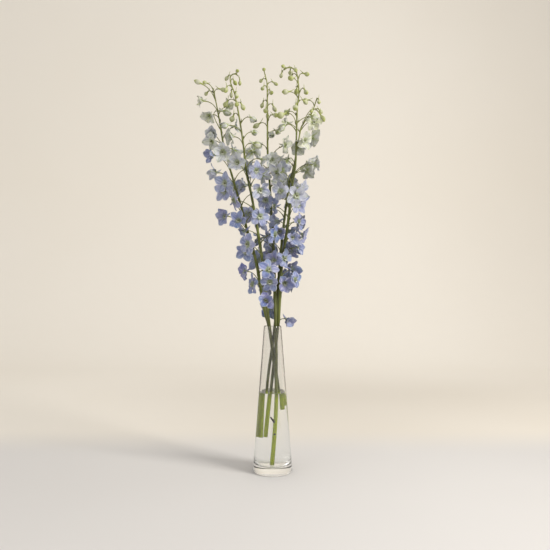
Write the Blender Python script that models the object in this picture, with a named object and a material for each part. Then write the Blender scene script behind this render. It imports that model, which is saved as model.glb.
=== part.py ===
"""Five cut delphinium spikes standing in a clear glass bottle vase that is half full of water.

The origin lies on the underside of the vase, in the middle, with +Z up and the front towards -Y.
Sizes are written in millimetres and turned into Blender's metres once, by new_object.
"""

import math
import random

import bmesh
import bpy
from mathutils import Matrix, Vector
from mathutils.bvhtree import BVHTree

MM = 0.001
SEAT_GAP = 0.3

# Bottle vase: a straight cone with a thick floor
VASE_HEIGHT = 290.0
VASE_FOOT_RADIUS = 39.5
VASE_RIM_RADIUS = 17.3
VASE_WALL = 2.5
VASE_FLOOR = 15.0
FOOT_ROUND = 3.0
FLOOR_ROUND = 9.0
VASE_SIDES = 36
ARC_STEPS = 2
WATER_LEVEL = 158.0
SHARP_EDGE = math.radians(30)

# Stems
STEM_SIDES = 6
STEM_SPAN = 60.0
STEM_RADIUS_RIM = 3.0
STEM_RADIUS_TIP = 0.9
STEM_TAPER = 1.4
WALK_STEP = 2.0
HOLE_RUN_ON = 5.0

# Where along a stem the flowers sit, and how far apart
GOLDEN_ANGLE = math.radians(137.5)
AZIMUTH_PLAY = 0.35
TIP_MARGIN = 3.0
STEP = {"open": 20.5, "half": 16.0, "bud": 10.0}

# Flower stalks: the angles are ranges in degrees, the lengths go from the lowest to the highest
LIFT = {"open": (32, 46), "half": (30, 50), "bud": (14, 42)}
DROOP = {"open": (-12, 28), "half": (0, 40), "bud": (-10, 75)}
STALK_LENGTHS = {"open": (26, 18), "half": (34, 18), "bud": (60, 13)}
STALK_SWELL = {"open": 29, "half": 20, "bud": 0}
FLOWER_SIZES = {"open": (1.14, 0.94), "half": (1.1, 0.8), "bud": (2.9, 0.95)}
STALK_SIDES = 3
STALK_RADIUS = 0.75
STALK_PARTS = (0.0, 0.45, 1.0)
STALK_BEND = 0.6
STALK_SINK = {"open": 1.1, "half": 2.5, "bud": 3.0}

# Open flower: five spread sepals round a small eye, with a spur behind
SEPALS = 5
SEPAL_LENGTH = 17.5
SEPAL_WAIST = 14.0
SEPAL_HALF_ANGLE = math.radians(31.0)
SEPAL_NOTCH = 8.0
SEPAL_THICKNESS = 0.7
SEPAL_WAVE = 1.6
TIP_TURN = 0.1
TIP_HEIGHTS = (-2.0, 1.5)
CUP_DEPTH = 5.0
NOTCH_SHARE = 0.2
WAIST_SHARE = 0.7
CLOSED_REACH = 0.62
EYE_HEIGHT = 1.6
SPUR_LENGTH = 14.0
SPUR_RISE = math.radians(28.0)

# Bud and half-open flower: rings as shares of the length and of the radius, from the back on
BUD_SIDES = 5
BUD_LENGTH = 10.0
BUD_RADIUS = 3.7
BUD_RINGS = [(0.15, 0.85), (0.55, 1.0)]
BUD_SPUR = 0.95
CUP_LENGTH = 13.0
CUP_RADIUS = 8.0
CUP_RINGS = [(0.04, 0.45), (0.5, 0.85), (1.0, 1.0)]
CUP_HOLLOW = 0.45
CUP_SPUR = 0.8

# Bract: the small leaf under a flower stalk
BRACT_EVERY = 12
BRACT_LENGTH = 9.0
BRACT_HALF_WIDTH = 1.3
BRACT_THICKNESS = 0.8
BRACT_MIDDLE = 0.55
BRACT_SPREAD = 0.4

# A flower is placed only where it stays this far from what is there already
CLEARANCE = 0.45
TURNS = [math.radians(d) for d in (0, 15, -15, 30, -30, 45, -45, 60, -60, 75, -75, 90, -90)]
REACHES = (1.0, 0.84, 1.14, 0.7)

# Each stem runs from its cut end under water, through the neck of the vase, to its tip
SPIKES = {
    "spike_left": {
        "route": [
            (14.5, 18.5, 126), (9.8, 14.6, 158), (3.8, 9.6, 201), (0.9, 7.1, 225), (-2.8, 4.4, 255),
            (-8.3, 1.0, 293), (-14, 0, 312), (-20, -0.5, 340), (-29.5, -2, 400), (-39, -4, 443),
            (-51, -6, 482), (-63, -8, 529), (-78, -10, 580), (-96, -13, 645), (-107, -16, 708),
            (-117, -18, 760),
        ],
        "foot_radius": 3.1, "first": 392, "open_to": 715, "half_to": 730, "turn": 300, "seed": 11,
        "crowding": 0.88, "tip_stalk": 1.8,
    },
    "spike_front": {
        "route": [
            (13.5, 8, 121), (12, 2, 158), (6.1, -4.6, 201), (2.7, -6.5, 225), (-1.7, -7.6, 255),
            (-6.6, -8.8, 291), (-13, -12, 347), (-16, -13.5, 372), (-21.6, -17, 430),
            (-28.5, -20, 474), (-33.3, -22, 505), (-42.5, -26, 553), (-51.6, -30, 597),
            (-57, -33, 646), (-64, -37, 694), (-71, -39, 731), (-75, -40, 748), (-80, -42, 760),
            (-82, -43, 771), (-78, -43, 779), (-68, -43, 780),
        ],
        "foot_radius": 3.3, "first": 325, "open_to": 640, "half_to": 690, "turn": 250, "seed": 22,
        "crowding": 0.98, "tip_stalk": 1.2,
    },
    "spike_centre": {
        "route": [
            (-1, -9, 15.7), (4, -11.5, 90), (6.8, -12.4, 158), (6.9, -12, 201), (6.9, -11.8, 225),
            (6.6, -9, 255), (6.1, -5, 291), (4.5, -0.5, 345), (2, 7, 440), (-5.8, 18, 574),
            (-8, 20.5, 604), (-10, 23, 635), (-10.8, 29, 709), (-11, 32, 750), (-11.5, 35, 785),
            (-14.5, 36, 800), (-18, 37, 813),
        ],
        "foot_radius": 3.4, "first": 318, "open_to": 630, "half_to": 680, "turn": 90, "seed": 33,
        "crowding": 1.0, "tip_stalk": 1.1,
    },
    "spike_right": {
        "route": [
            (-10.5, 3, 68), (-7.5, 2, 110), (-3.6, 1, 158), (1.2, 0.5, 201), (3.8, 0.7, 225),
            (7.2, 1.1, 255), (11, 1.5, 291), (13.4, 0, 327), (15, -1, 355), (17.5, -4, 407),
            (21.5, -5, 435), (31.4, -8, 500), (38.7, -11, 567), (45, -13, 608), (47, -15, 658),
            (48, -17, 698), (49.3, -18, 728), (52, -19, 749), (50.8, -19.5, 770), (49.2, -20, 782),
            (47, -20, 791), (40.4, -21, 798), (32.5, -21, 801), (22, -21, 795),
        ],
        "foot_radius": 3.0, "first": 368, "open_to": 665, "half_to": 705, "turn": 300, "seed": 44,
        "crowding": 1.0, "tip_stalk": 1.2,
    },
    "spike_back": {
        "route": [
            (-14, 25.4, 62), (-13.5, 19.5, 110), (-12.3, 16, 158), (-7.6, 14, 201),
            (-3.8, 13.1, 225), (0.6, 11.4, 255), (5, 9, 291), (10.9, 12, 362), (17, 17, 442),
            (25, 21, 514), (33.4, 25, 572), (41.8, 28, 607), (50, 31, 648), (57.4, 34, 691),
            (62.6, 35, 702), (70.4, 36, 714), (80, 37, 725), (86, 38, 740), (91.7, 39, 758),
        ],
        "foot_radius": 3.0, "first": 368, "open_to": 690, "half_to": 712, "turn": 70, "seed": 55,
        "crowding": 1.1, "tip_stalk": 1.3,
    },
}

# Flowers set one by one, in the outline and in front. Each has the height at which its stalk leaves
# the stem, its place, the way it faces (degrees round from +X towards +Y, then degrees down) and
# its size.
SET_FLOWERS = [
    ("spike_right", "open", 300, (27, -3, 303), (-40, 25), 1.0),
    ("spike_left", "open", 372, (-53, -8, 398), (-140, 10), 1.0),
    ("spike_right", "open", 350, (44, -16, 382), (-35, 10), 0.95),
    ("spike_back", "open", 415, (48, 4, 446), (-25, 10), 1.0),
    ("spike_right", "open", 436, (38, -28, 465), (-60, 10), 0.95),
    ("spike_right", "open", 465, (51, -13, 497), (-25, 10), 0.95),
    ("spike_right", "open", 497, (49, -30, 528), (-60, 5), 0.95),
    ("spike_right", "open", 530, (58, -18, 562), (-35, 5), 0.95),
    ("spike_right", "open", 622, (62, -26, 655), (-55, 5), 1.0),
    ("spike_right", "bud", 684, (24, -25, 708), (-170, 20), 1.7),
    ("spike_centre", "open", 345, (-5, -32, 378), (-95, 10), 1.0),
    ("spike_centre", "open", 508, (-14, -8, 540), (-100, 8), 1.0),
    ("spike_right", "open", 520, (16, -34, 555), (-105, 5), 0.95),
    ("spike_centre", "open", 592, (-1, 4, 622), (-80, 5), 0.9),
    ("spike_front", "open", 563, (-32, -40, 594), (-60, 10), 1.0),
    ("spike_front", "open", 583, (-68, -42, 612), (-125, 8), 1.0),
    ("spike_front", "open", 630, (-79, -36, 660), (-150, 15), 0.95),
    ("spike_front", "half", 622, (-37, -38, 646), (10, 15), 1.1),
    ("spike_left", "open", 462, (-92, -14, 508), (-125, 5), 1.15),
    ("spike_left", "open", 508, (-94, -18, 556), (-110, -8), 1.15),
    ("spike_left", "open", 560, (-112, -8, 595), (-160, 8), 0.95),
    ("spike_left", "open", 590, (-117, -18, 628), (-145, 0), 1.0),
    ("spike_left", "open", 638, (-117, -28, 668), (-100, 12), 1.0),
    ("spike_left", "open", 668, (-124, -24, 704), (-130, 30), 0.9),
    ("spike_left", "half", 678, (-97, -18, 714), (5, 15), 1.0),
    ("spike_left", "open", 690, (-138, -18, 735), (-165, 5), 0.75),
    ("spike_left", "bud", 712, (-140, -18, 769), (180, -25), 1.4),
    ("spike_left", "bud", 738, (-104, -20, 758), (0, 10), 1.2),
    ("spike_back", "open", 588, (78, 22, 618), (-35, 10), 0.95),
    ("spike_back", "open", 688, (84, 30, 706), (-65, 25), 0.95),
    ("spike_back", "bud", 700, (99, 37, 722), (-20, 60), 1.5),
]
SET_OPENNESS = 0.9


def new_material(name, colour, roughness, transmission=0.0):
    material = bpy.data.materials.new(name)
    material.use_nodes = True
    shader = material.node_tree.nodes["Principled BSDF"]
    shader.inputs["Base Color"].default_value = (*colour, 1.0)
    shader.inputs["Roughness"].default_value = roughness
    shader.inputs["Metallic"].default_value = 0.0
    shader.inputs["Transmission Weight"].default_value = transmission
    return material


def new_object(name, bm, material=None, collection=None):
    """Turn a bmesh in millimetres into an object in metres."""
    bmesh.ops.scale(bm, vec=(MM, MM, MM), verts=bm.verts)
    mesh = bpy.data.meshes.new(name)
    bm.to_mesh(mesh)
    bm.free()
    if material:
        mesh.materials.append(material)
    obj = bpy.data.objects.new(name, mesh)
    (collection or bpy.context.scene.collection).objects.link(obj)
    return obj


def outer_radius(height):
    return VASE_FOOT_RADIUS + (VASE_RIM_RADIUS - VASE_FOOT_RADIUS) * height / VASE_HEIGHT


def inner_radius(height):
    return outer_radius(height) - VASE_WALL


def arc(centre, size, start, end, steps=ARC_STEPS):
    """Points (radius, height) on an arc between two angles in degrees."""
    angles = [math.radians(start + (end - start) * i / steps) for i in range(steps + 1)]
    return [(centre[0] + size * math.cos(a), centre[1] + size * math.sin(a)) for a in angles]


def turned(profile):
    """A smooth solid of revolution from (radius, height) points that start and end on the axis."""
    bm = bmesh.new()
    verts = [bm.verts.new((radius, 0, height)) for radius, height in profile]
    edges = [bm.edges.new(pair) for pair in zip(verts, verts[1:])]
    bmesh.ops.spin(bm, geom=verts + edges, cent=(0, 0, 0), axis=(0, 0, 1), angle=math.tau,
                   steps=VASE_SIDES, use_merge=True)
    bmesh.ops.remove_doubles(bm, verts=bm.verts, dist=0.01)
    bmesh.ops.recalc_face_normals(bm, faces=bm.faces)
    return bm


def rounded(obj):
    """Shade the round faces smooth and keep the corners sharp."""
    obj.data.shade_smooth()
    obj.data.set_sharp_from_angle(angle=SHARP_EDGE)


def vase_profile():
    lip = VASE_WALL / 2
    lip_height = VASE_HEIGHT - lip
    floor_top = VASE_FLOOR + FLOOR_ROUND
    foot = arc((outer_radius(0) - FOOT_ROUND, FOOT_ROUND), FOOT_ROUND, -90, 0)
    rim = arc((outer_radius(lip_height) - lip, lip_height), lip, 0, 180, 2)
    bowl = arc((inner_radius(floor_top) - FLOOR_ROUND, floor_top), FLOOR_ROUND, 0, -90)
    return [(0, 0), *foot, *rim, *bowl, (0, VASE_FLOOR)]


def water_profile():
    floor_top = VASE_FLOOR + FLOOR_ROUND
    centre = (inner_radius(floor_top) - FLOOR_ROUND, floor_top)
    bowl = arc(centre, FLOOR_ROUND - SEAT_GAP, -90, 0)
    surface = (inner_radius(WATER_LEVEL) - SEAT_GAP, WATER_LEVEL)
    return [(0, bowl[0][1]), *bowl, surface, (0, WATER_LEVEL)]


def curve_through(points, span):
    """Points no more than span apart on a smooth curve that passes through the given ones."""
    points = [Vector(p) for p in points]
    ends = [2 * points[0] - points[1], *points, 2 * points[-1] - points[-2]]
    curve = []
    for p0, p1, p2, p3 in zip(ends, ends[1:], ends[2:], ends[3:]):
        steps = math.ceil((p2 - p1).length / span)
        for i in range(steps):
            t = i / steps
            curve.append(0.5 * (2 * p1 + (p2 - p0) * t + (2 * p0 - 5 * p1 + 4 * p2 - p3) * t**2
                                + (3 * p1 - p0 - 3 * p2 + p3) * t**3))
    return [*curve, points[-1]]


def stem_radius(point, foot_radius, tip_height):
    """Thick under water, then thinner towards the tip."""
    if point.z < VASE_HEIGHT:
        share = point.z / VASE_HEIGHT
        return foot_radius + (STEM_RADIUS_RIM - foot_radius) * share
    share = min((point.z - VASE_HEIGHT) / (tip_height - VASE_HEIGHT), 1.0)
    return STEM_RADIUS_RIM + (STEM_RADIUS_TIP - STEM_RADIUS_RIM) * share**STEM_TAPER


def ring(centre, along, radius, sides, side=Vector((0, 1, 0))):
    """Corners of a regular polygon square to a direction, turned to suit a fixed side direction."""
    across = side.cross(along).normalized()
    other = along.normalized().cross(across)
    angles = [math.tau * i / sides for i in range(sides)]
    return [centre + radius * (math.cos(a) * across + math.sin(a) * other) for a in angles]


def loft(bm, rings):
    """Skin rings of points into one closed body; a ring of one point is a pointed end."""
    loops = [[bm.verts.new(p) for p in points] for points in rings]
    for low, high in zip(loops, loops[1:]):
        for i in range(max(len(low), len(high))):
            corners = [low[i % len(low)], low[(i + 1) % len(low)],
                       high[(i + 1) % len(high)], high[i % len(high)]]
            bm.faces.new(list(dict.fromkeys(corners)))
    for cap in (loops[0][::-1], loops[-1]):
        if len(cap) > 2:
            bm.faces.new(cap)


def tube(path, radii, sides, side=Vector((0, 1, 0))):
    """A closed tube along a path that never runs along side; its rings are square to the path."""
    bm = bmesh.new()
    before = [path[0], *path[:-1]]
    after = [*path[1:], path[-1]]
    loft(bm, [ring(p, b - a, r, sides, side) for p, a, b, r in zip(path, before, after, radii)])
    bmesh.ops.triangulate(bm, faces=bm.faces)
    return bm


def stem_tube(spike, extra=0.0, path=None):
    """The bare stem, or with extra the wider tube that cuts its hole in the water."""
    path = path or curve_through(spike["route"], STEM_SPAN)
    tip_height = max(p[2] for p in spike["route"])
    radii = [stem_radius(p, spike["foot_radius"], tip_height) + extra for p in path]
    return tube(path, radii, STEM_SIDES)


def hole_tube(spike):
    """The cutter for a stem's hole: past the stem's cut end, or through the floor, and up."""
    path = [p for p in curve_through(spike["route"], STEM_SPAN) if p.z < VASE_HEIGHT]
    run_on = HOLE_RUN_ON if path[0].z < VASE_FLOOR + FLOOR_ROUND else SEAT_GAP
    path[0] = path[0] - (path[1] - path[0]).normalized() * run_on
    return stem_tube(spike, SEAT_GAP, path)


def sepal_corners(index, size, openness, rng):
    """Root, left, tip and right corners of one sepal's middle surface, cupped towards +Z."""
    angle = math.pi / 2 + math.tau * index / SEPALS
    reach = size * (CLOSED_REACH + (1 - CLOSED_REACH) * openness)
    lift = CUP_DEPTH * size * (2 - openness)

    def at(turn, radius, height):
        a = angle + turn
        return Vector((radius * math.cos(a), radius * math.sin(a), height))

    wave = rng.uniform(-SEPAL_WAVE, SEPAL_WAVE)
    tip_turn = rng.uniform(-TIP_TURN, TIP_TURN)
    tip_height = lift + rng.uniform(*TIP_HEIGHTS)
    return [at(-math.pi / SEPALS, SEPAL_NOTCH * reach, lift * NOTCH_SHARE),
            at(-SEPAL_HALF_ANGLE, SEPAL_WAIST * reach, lift * WAIST_SHARE + wave),
            at(tip_turn, SEPAL_LENGTH * reach, tip_height),
            at(SEPAL_HALF_ANGLE, SEPAL_WAIST * reach, lift * WAIST_SHARE - wave)]


def spur_tip(length):
    """The end of a spur of this length, back and up from the hub."""
    return Vector((0, math.sin(SPUR_RISE), -math.cos(SPUR_RISE))) * length


def open_flower(item, grow=0.0):
    """Five sepals, eye and spur as one closed body; both faces are split into the same triangles."""
    rng = random.Random(item["seed"])
    half = Vector((0, 0, SEPAL_THICKNESS / 2 + grow))
    size = item["size"] + grow / SEPAL_LENGTH
    rim = [p for k in range(SEPALS) for p in sepal_corners(k, size, item["openness"], rng)]
    bm = bmesh.new()
    top = [bm.verts.new(p + half) for p in rim]
    under = [bm.verts.new(p - half) for p in rim]
    eye = bm.verts.new((0, 0, EYE_HEIGHT + grow))
    tip = bm.verts.new(spur_tip(SPUR_LENGTH * item["size"] + grow))
    for i, following in enumerate([*range(1, len(rim)), 0]):
        bm.faces.new((top[i], under[i], under[following], top[following]))
    for k in range(SEPALS):
        root, left, end, right = range(4 * k, 4 * k + 4)
        next_root = (4 * k + 4) % len(rim)
        for corners in ((root, left, end), (root, end, next_root), (next_root, end, right)):
            bm.faces.new([top[c] for c in corners])
            bm.faces.new([under[c] for c in reversed(corners)])
        bm.faces.new((top[root], top[next_root], eye))
        bm.faces.new((under[next_root], under[root], tip))
    bmesh.ops.triangulate(bm, faces=bm.faces)
    return bm


def rings_along(shares, length, radius, sides):
    """Rings square to +Z, from shares of a length and of a radius."""
    front = Vector((0, 0, 1))
    return [ring(front * share * length, front, width * radius, sides) for share, width in shares]


def half_open_flower(item, grow=0.0):
    """A cup of five sepals that is hollow to the middle, with its spur."""
    length = CUP_LENGTH * item["size"]
    radius = CUP_RADIUS * item["size"] + grow
    hollow = Vector((0, 0, CUP_HOLLOW * length + grow))
    bm = bmesh.new()
    loft(bm, [[spur_tip(CUP_SPUR * SPUR_LENGTH * item["size"] + grow)],
              *rings_along(CUP_RINGS, length, radius, SEPALS), [hollow]])
    bmesh.ops.triangulate(bm, faces=bm.faces)
    return bm


def bud(item, grow=0.0):
    """A plump closed bud, drawn out behind into its spur."""
    length = BUD_LENGTH * item["size"]
    radius = BUD_RADIUS * item["size"] + grow
    bm = bmesh.new()
    loft(bm, [[spur_tip(BUD_SPUR * length + grow)],
              *rings_along(BUD_RINGS, length, radius, BUD_SIDES), [Vector((0, 0, length + grow))]])
    bmesh.ops.triangulate(bm, faces=bm.faces)
    return bm


def bract(root, leave, along):
    """A narrow leaf that stands under a stalk, thickest at its middle."""
    out = (leave - along * leave.dot(along) * BRACT_SPREAD).normalized()
    side = out.cross(along).normalized()
    face = side.cross(out)
    middle = root + out * BRACT_MIDDLE * BRACT_LENGTH
    corners = [middle + side * BRACT_HALF_WIDTH, middle + face * BRACT_THICKNESS,
               middle - side * BRACT_HALF_WIDTH, middle - face * BRACT_THICKNESS]
    bm = bmesh.new()
    loft(bm, [[root], corners, [root + out * BRACT_LENGTH]])
    bmesh.ops.recalc_face_normals(bm, faces=bm.faces)
    return bm


FLOWER_SHAPES = {"open": open_flower, "half": half_open_flower, "bud": bud}


def stalk_path(item):
    """A flower stalk leaves the stem at an angle and bends over to meet the flower's back."""
    leave, facing = item["leave"], item["facing"]
    elbow = item["point"] + leave * STALK_BEND * item["stalk"]
    end = elbow + facing * (1 - STALK_BEND) * item["stalk"]
    path = []
    for t in STALK_PARTS:
        path.append(item["point"] * (1 - t)**2 + elbow * 2 * t * (1 - t) + end * t**2)
    return path


def flower_matrix(item):
    """Places a flower at the end of its stalk, facing along +Z of its own frame, spur uppermost."""
    facing = item["facing"]
    side = Vector((0, 0, 1)).cross(facing).normalized()
    upright = facing.cross(side)
    turned_side = side * math.cos(item["roll"]) + upright * math.sin(item["roll"])
    turned_up = facing.cross(turned_side)
    frame = Matrix((turned_side, turned_up, facing)).transposed().to_4x4()
    return Matrix.Translation(stalk_path(item)[-1]) @ frame


def placed_flower(item, grow=0.0):
    bm = FLOWER_SHAPES[item["kind"]](item, grow)
    bmesh.ops.transform(bm, matrix=flower_matrix(item), verts=bm.verts)
    return bm


def stalk_tube(item, grow=0.0):
    path = stalk_path(item)
    path[-1] = path[-1] + item["facing"] * STALK_SINK[item["kind"]]
    side = item["leave"].cross(item["facing"])
    return tube(path, [STALK_RADIUS + grow] * len(path), STALK_SIDES, side)


def walk(spike):
    """The stem as evenly spaced (point, direction) pairs from foot to tip."""
    path = curve_through(spike["route"], WALK_STEP)
    return list(zip(path, [(b - a).normalized() for a, b in zip(path, path[1:])]))


def aimed(draw):
    """Work out the directions in which a flower leaves the stem and faces."""
    along = draw["along"]
    east = Vector((0, 1, 0)).cross(along).normalized()
    north = along.cross(east)
    outward = math.cos(draw["azimuth"]) * east + math.sin(draw["azimuth"]) * north
    leave = math.cos(draw["lift"]) * along + math.sin(draw["lift"]) * outward
    facing = direction(math.atan2(outward.y, outward.x), draw["droop"])
    return dict(draw, leave=leave, facing=facing)


def direction(azimuth, droop):
    """Round from +X towards +Y by one angle, and down by the other."""
    level = Vector((math.cos(azimuth), math.sin(azimuth), 0))
    return math.cos(droop) * level - math.sin(droop) * Vector((0, 0, 1))


def stalk_length(kind, share):
    low, high = STALK_LENGTHS[kind]
    return low + (high - low) * share + STALK_SWELL[kind] * math.sin(math.pi * share)


def flower_size(kind, share):
    low, high = FLOWER_SIZES[kind]
    return low + (high - low) * share


def wanted_flowers(name, spike):
    """The flowers of one spike from the lowest up, as draws to be tried, before any is placed."""
    rng = random.Random(spike["seed"])
    steps = walk(spike)
    first = next(i for i, (p, _) in enumerate(steps) if p.z > spike["first"])
    index = first
    azimuth = math.radians(spike["turn"])
    kind = "open"
    wanted = []
    while index < len(steps) - TIP_MARGIN / WALK_STEP:
        point, along = steps[index]
        if kind == "open" and point.z > spike["open_to"]:
            kind = "half"
        if kind == "half" and point.z > spike["half_to"]:
            kind = "bud"
        share = (index - first) / (len(steps) - first)
        reach = spike["tip_stalk"] if kind == "bud" else 1.0
        draw = {"spike": name, "point": point, "along": along, "kind": kind,
                "azimuth": azimuth + rng.uniform(-AZIMUTH_PLAY, AZIMUTH_PLAY), "share": share,
                "lift": math.radians(rng.uniform(*LIFT[kind])),
                "droop": math.radians(rng.uniform(*DROOP[kind])),
                "stalk": rng.uniform(0.85, 1.15) * stalk_length(kind, share) * reach,
                "size": rng.uniform(0.92, 1.06) * flower_size(kind, share),
                "openness": rng.uniform(0.8, 1.0), "roll": rng.uniform(-0.5, 0.5),
                "seed": rng.randrange(10**6)}
        wanted.append(draw)
        azimuth += GOLDEN_ANGLE
        gap = STEP[kind] * spike["crowding"] * rng.uniform(0.85, 1.15)
        index += max(1, round(gap / WALK_STEP))
    return wanted


def box_of(bm):
    corners = [v.co for v in bm.verts]
    return (Vector(min(c[i] for c in corners) for i in range(3)),
            Vector(max(c[i] for c in corners) for i in range(3)))


def solid_of(bm):
    """What later pieces are tested against: a box and the surface."""
    low, high = box_of(bm)
    tree = BVHTree.FromBMesh(bm)
    bm.free()
    return {"low": low, "high": high, "tree": tree}


def meets(solid, others):
    for other in others:
        apart = any(solid["low"][i] > other["high"][i] or other["low"][i] > solid["high"][i]
                    for i in range(3))
        if not apart and solid["tree"].overlap(other["tree"]):
            return True
    return False


def room_for(item, stems, taken):
    """The flower and its stalk as solids if they meet nothing, or else an empty list."""
    other_stems = [stem for name, stem in stems.items() if name != item["spike"]]
    flower = solid_of(placed_flower(item, CLEARANCE))
    if meets(flower, [*stems.values(), *taken]):
        return []
    stalk = solid_of(stalk_tube(item, CLEARANCE))
    if meets(stalk, [*other_stems, *taken]):
        return []
    return [flower, stalk]


def first_clear(draw, stems, taken):
    """Try a flower at its own place, then turned round the stem and on longer or shorter stalks."""
    for reach in REACHES:
        for turn in TURNS:
            item = dict(draw, stalk=draw["stalk"] * reach, azimuth=draw["azimuth"] + turn)
            item = aimed(item)
            solids = room_for(item, stems, taken)
            if solids:
                return item, solids
    return None, []


def set_flower(number, spike, kind, height, place, aim, size):
    """A flower set by hand: the stalk's length and first direction follow from where it ends."""
    point, along = next(step for step in walk(SPIKES[spike]) if step[0].z > height)
    facing = direction(math.radians(aim[0]), math.radians(aim[1]))
    reach = Vector(place) - point
    rest = 1 - STALK_BEND
    a = STALK_BEND**2 - rest**2
    b = rest * reach.dot(facing)
    stalk = (math.sqrt(b * b + a * reach.length_squared) - b) / a
    leave = (reach - facing * rest * stalk) / (STALK_BEND * stalk)
    return {"spike": spike, "point": point, "along": along, "kind": kind, "leave": leave,
            "facing": facing, "stalk": stalk, "size": size, "openness": SET_OPENNESS,
            "roll": 0.0, "seed": number}


def place_flowers(stems, fixed):
    """The set flowers, then every spike's by turns from the lowest up, where there is room."""
    placed = []
    taken = list(fixed)
    for number, values in enumerate(SET_FLOWERS):
        item = set_flower(number, *values)
        solids = room_for(item, stems, taken)
        if solids:
            placed.append(item)
            taken += solids
    waiting = [wanted_flowers(name, spike) for name, spike in SPIKES.items()]
    for level in range(max(len(draws) for draws in waiting)):
        for draw in [draws[level] for draws in waiting if level < len(draws)]:
            item, solids = first_clear(draw, stems, taken)
            if item:
                placed.append(item)
                taken += solids
    return placed


def joined(base, parts):
    """Fuse a collection's objects into a base object, and remove the collection."""
    modifier = base.modifiers.new("Join", "BOOLEAN")
    modifier.operation = "UNION"
    modifier.operand_type = "COLLECTION"
    modifier.collection = parts
    modifier.solver = "MANIFOLD"
    evaluated = base.evaluated_get(bpy.context.evaluated_depsgraph_get())
    mesh = bpy.data.meshes.new_from_object(evaluated)
    base.modifiers.clear()
    base.data = mesh
    for part in list(parts.objects):
        bpy.data.objects.remove(part)
    bpy.data.collections.remove(parts)
    return base


def grow_spike(name, items, material):
    """One stem with its stalks, flowers, buds and bracts, fused into one body."""
    parts = bpy.data.collections.new("parts of " + name)
    bpy.context.scene.collection.children.link(parts)
    for number, item in enumerate(items):
        new_object(f"stalk{number}", stalk_tube(item), collection=parts)
        new_object(f"flower{number}", placed_flower(item), collection=parts)
        if number % BRACT_EVERY == 0:
            leaf = bract(item["point"], item["leave"], item["along"])
            new_object(f"bract{number}", leaf, collection=parts)
    stem = new_object(name, stem_tube(SPIKES[name]), material)
    return joined(stem, parts)


def cut_holes(water):
    """A plain hole in the water for each stem."""
    for spike in SPIKES.values():
        cutter = new_object("hole", hole_tube(spike))
        modifier = water.modifiers.new("Hole", "BOOLEAN")
        modifier.operation = "DIFFERENCE"
        modifier.object = cutter
        modifier.solver = "EXACT"
        evaluated = water.evaluated_get(bpy.context.evaluated_depsgraph_get())
        mesh = bpy.data.meshes.new_from_object(evaluated)
        water.modifiers.clear()
        water.data = mesh
        bpy.data.objects.remove(cutter)


def build():
    for obj in list(bpy.data.objects):
        bpy.data.objects.remove(obj)
    glass = new_material("clear glass", (0.93, 0.95, 0.94), 0.03, transmission=1.0)
    liquid = new_material("water", (0.95, 0.97, 0.96), 0.0, transmission=1.0)
    rounded(new_object("vase", turned(vase_profile()), glass))
    water = new_object("water", turned(water_profile()), liquid)
    cut_holes(water)
    rounded(water)
    stems = {name: solid_of(stem_tube(spike, CLEARANCE)) for name, spike in SPIKES.items()}
    placed = place_flowers(stems, [solid_of(turned(vase_profile()))])
    for name in SPIKES:
        material = new_material(name + " florets", (0.52, 0.58, 0.83), 0.6)
        grow_spike(name, [item for item in placed if item["spike"] == name], material)


build()
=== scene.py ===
"""Five cut delphinium spikes in a clear glass bottle vase that is half full of water.

Lengths are in millimetres, as in the model's own source, and are turned into metres by smooth_object.
"""

import math
import random

import bmesh
import bpy
from mathutils import Matrix, Vector
from mathutils.kdtree import KDTree


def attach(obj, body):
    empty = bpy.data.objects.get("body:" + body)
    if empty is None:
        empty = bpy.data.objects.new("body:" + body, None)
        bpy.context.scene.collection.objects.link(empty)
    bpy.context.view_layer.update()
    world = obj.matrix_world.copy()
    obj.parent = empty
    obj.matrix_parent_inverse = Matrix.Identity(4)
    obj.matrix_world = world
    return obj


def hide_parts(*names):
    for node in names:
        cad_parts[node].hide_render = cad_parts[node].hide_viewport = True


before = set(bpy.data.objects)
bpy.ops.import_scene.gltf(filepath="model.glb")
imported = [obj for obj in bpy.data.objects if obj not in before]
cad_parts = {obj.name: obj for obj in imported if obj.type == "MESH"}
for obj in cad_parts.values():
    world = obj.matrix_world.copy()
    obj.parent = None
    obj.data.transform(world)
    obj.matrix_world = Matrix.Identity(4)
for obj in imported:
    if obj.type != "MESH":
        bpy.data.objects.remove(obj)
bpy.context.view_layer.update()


# Vase
# A bottle vase of clear mould-blown glass: a straight cone with a thick floor, a rounded foot and a
# thin fire-polished rim. It stands on its flat underside.

MM = 0.001
SHARP_EDGE = math.radians(35)
MERGED_WITHIN = 0.005
VASE_HEIGHT = 290.0
VASE_FOOT_RADIUS = 39.5
VASE_RIM_RADIUS = 17.3
VASE_WALL = 2.5
VASE_FLOOR = 15.0
FOOT_ROUND = 3.0
FLOOR_ROUND = 9.0
FOOT_HOLLOW = 0.8
FOOT_HOLLOW_REACH = 30.0
TURNED_SIDES = 144
ARC_STEPS = 10
GLASS_IOR = 1.5
GLASS_TINT = (0.985, 0.99, 0.985, 1.0)


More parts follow.
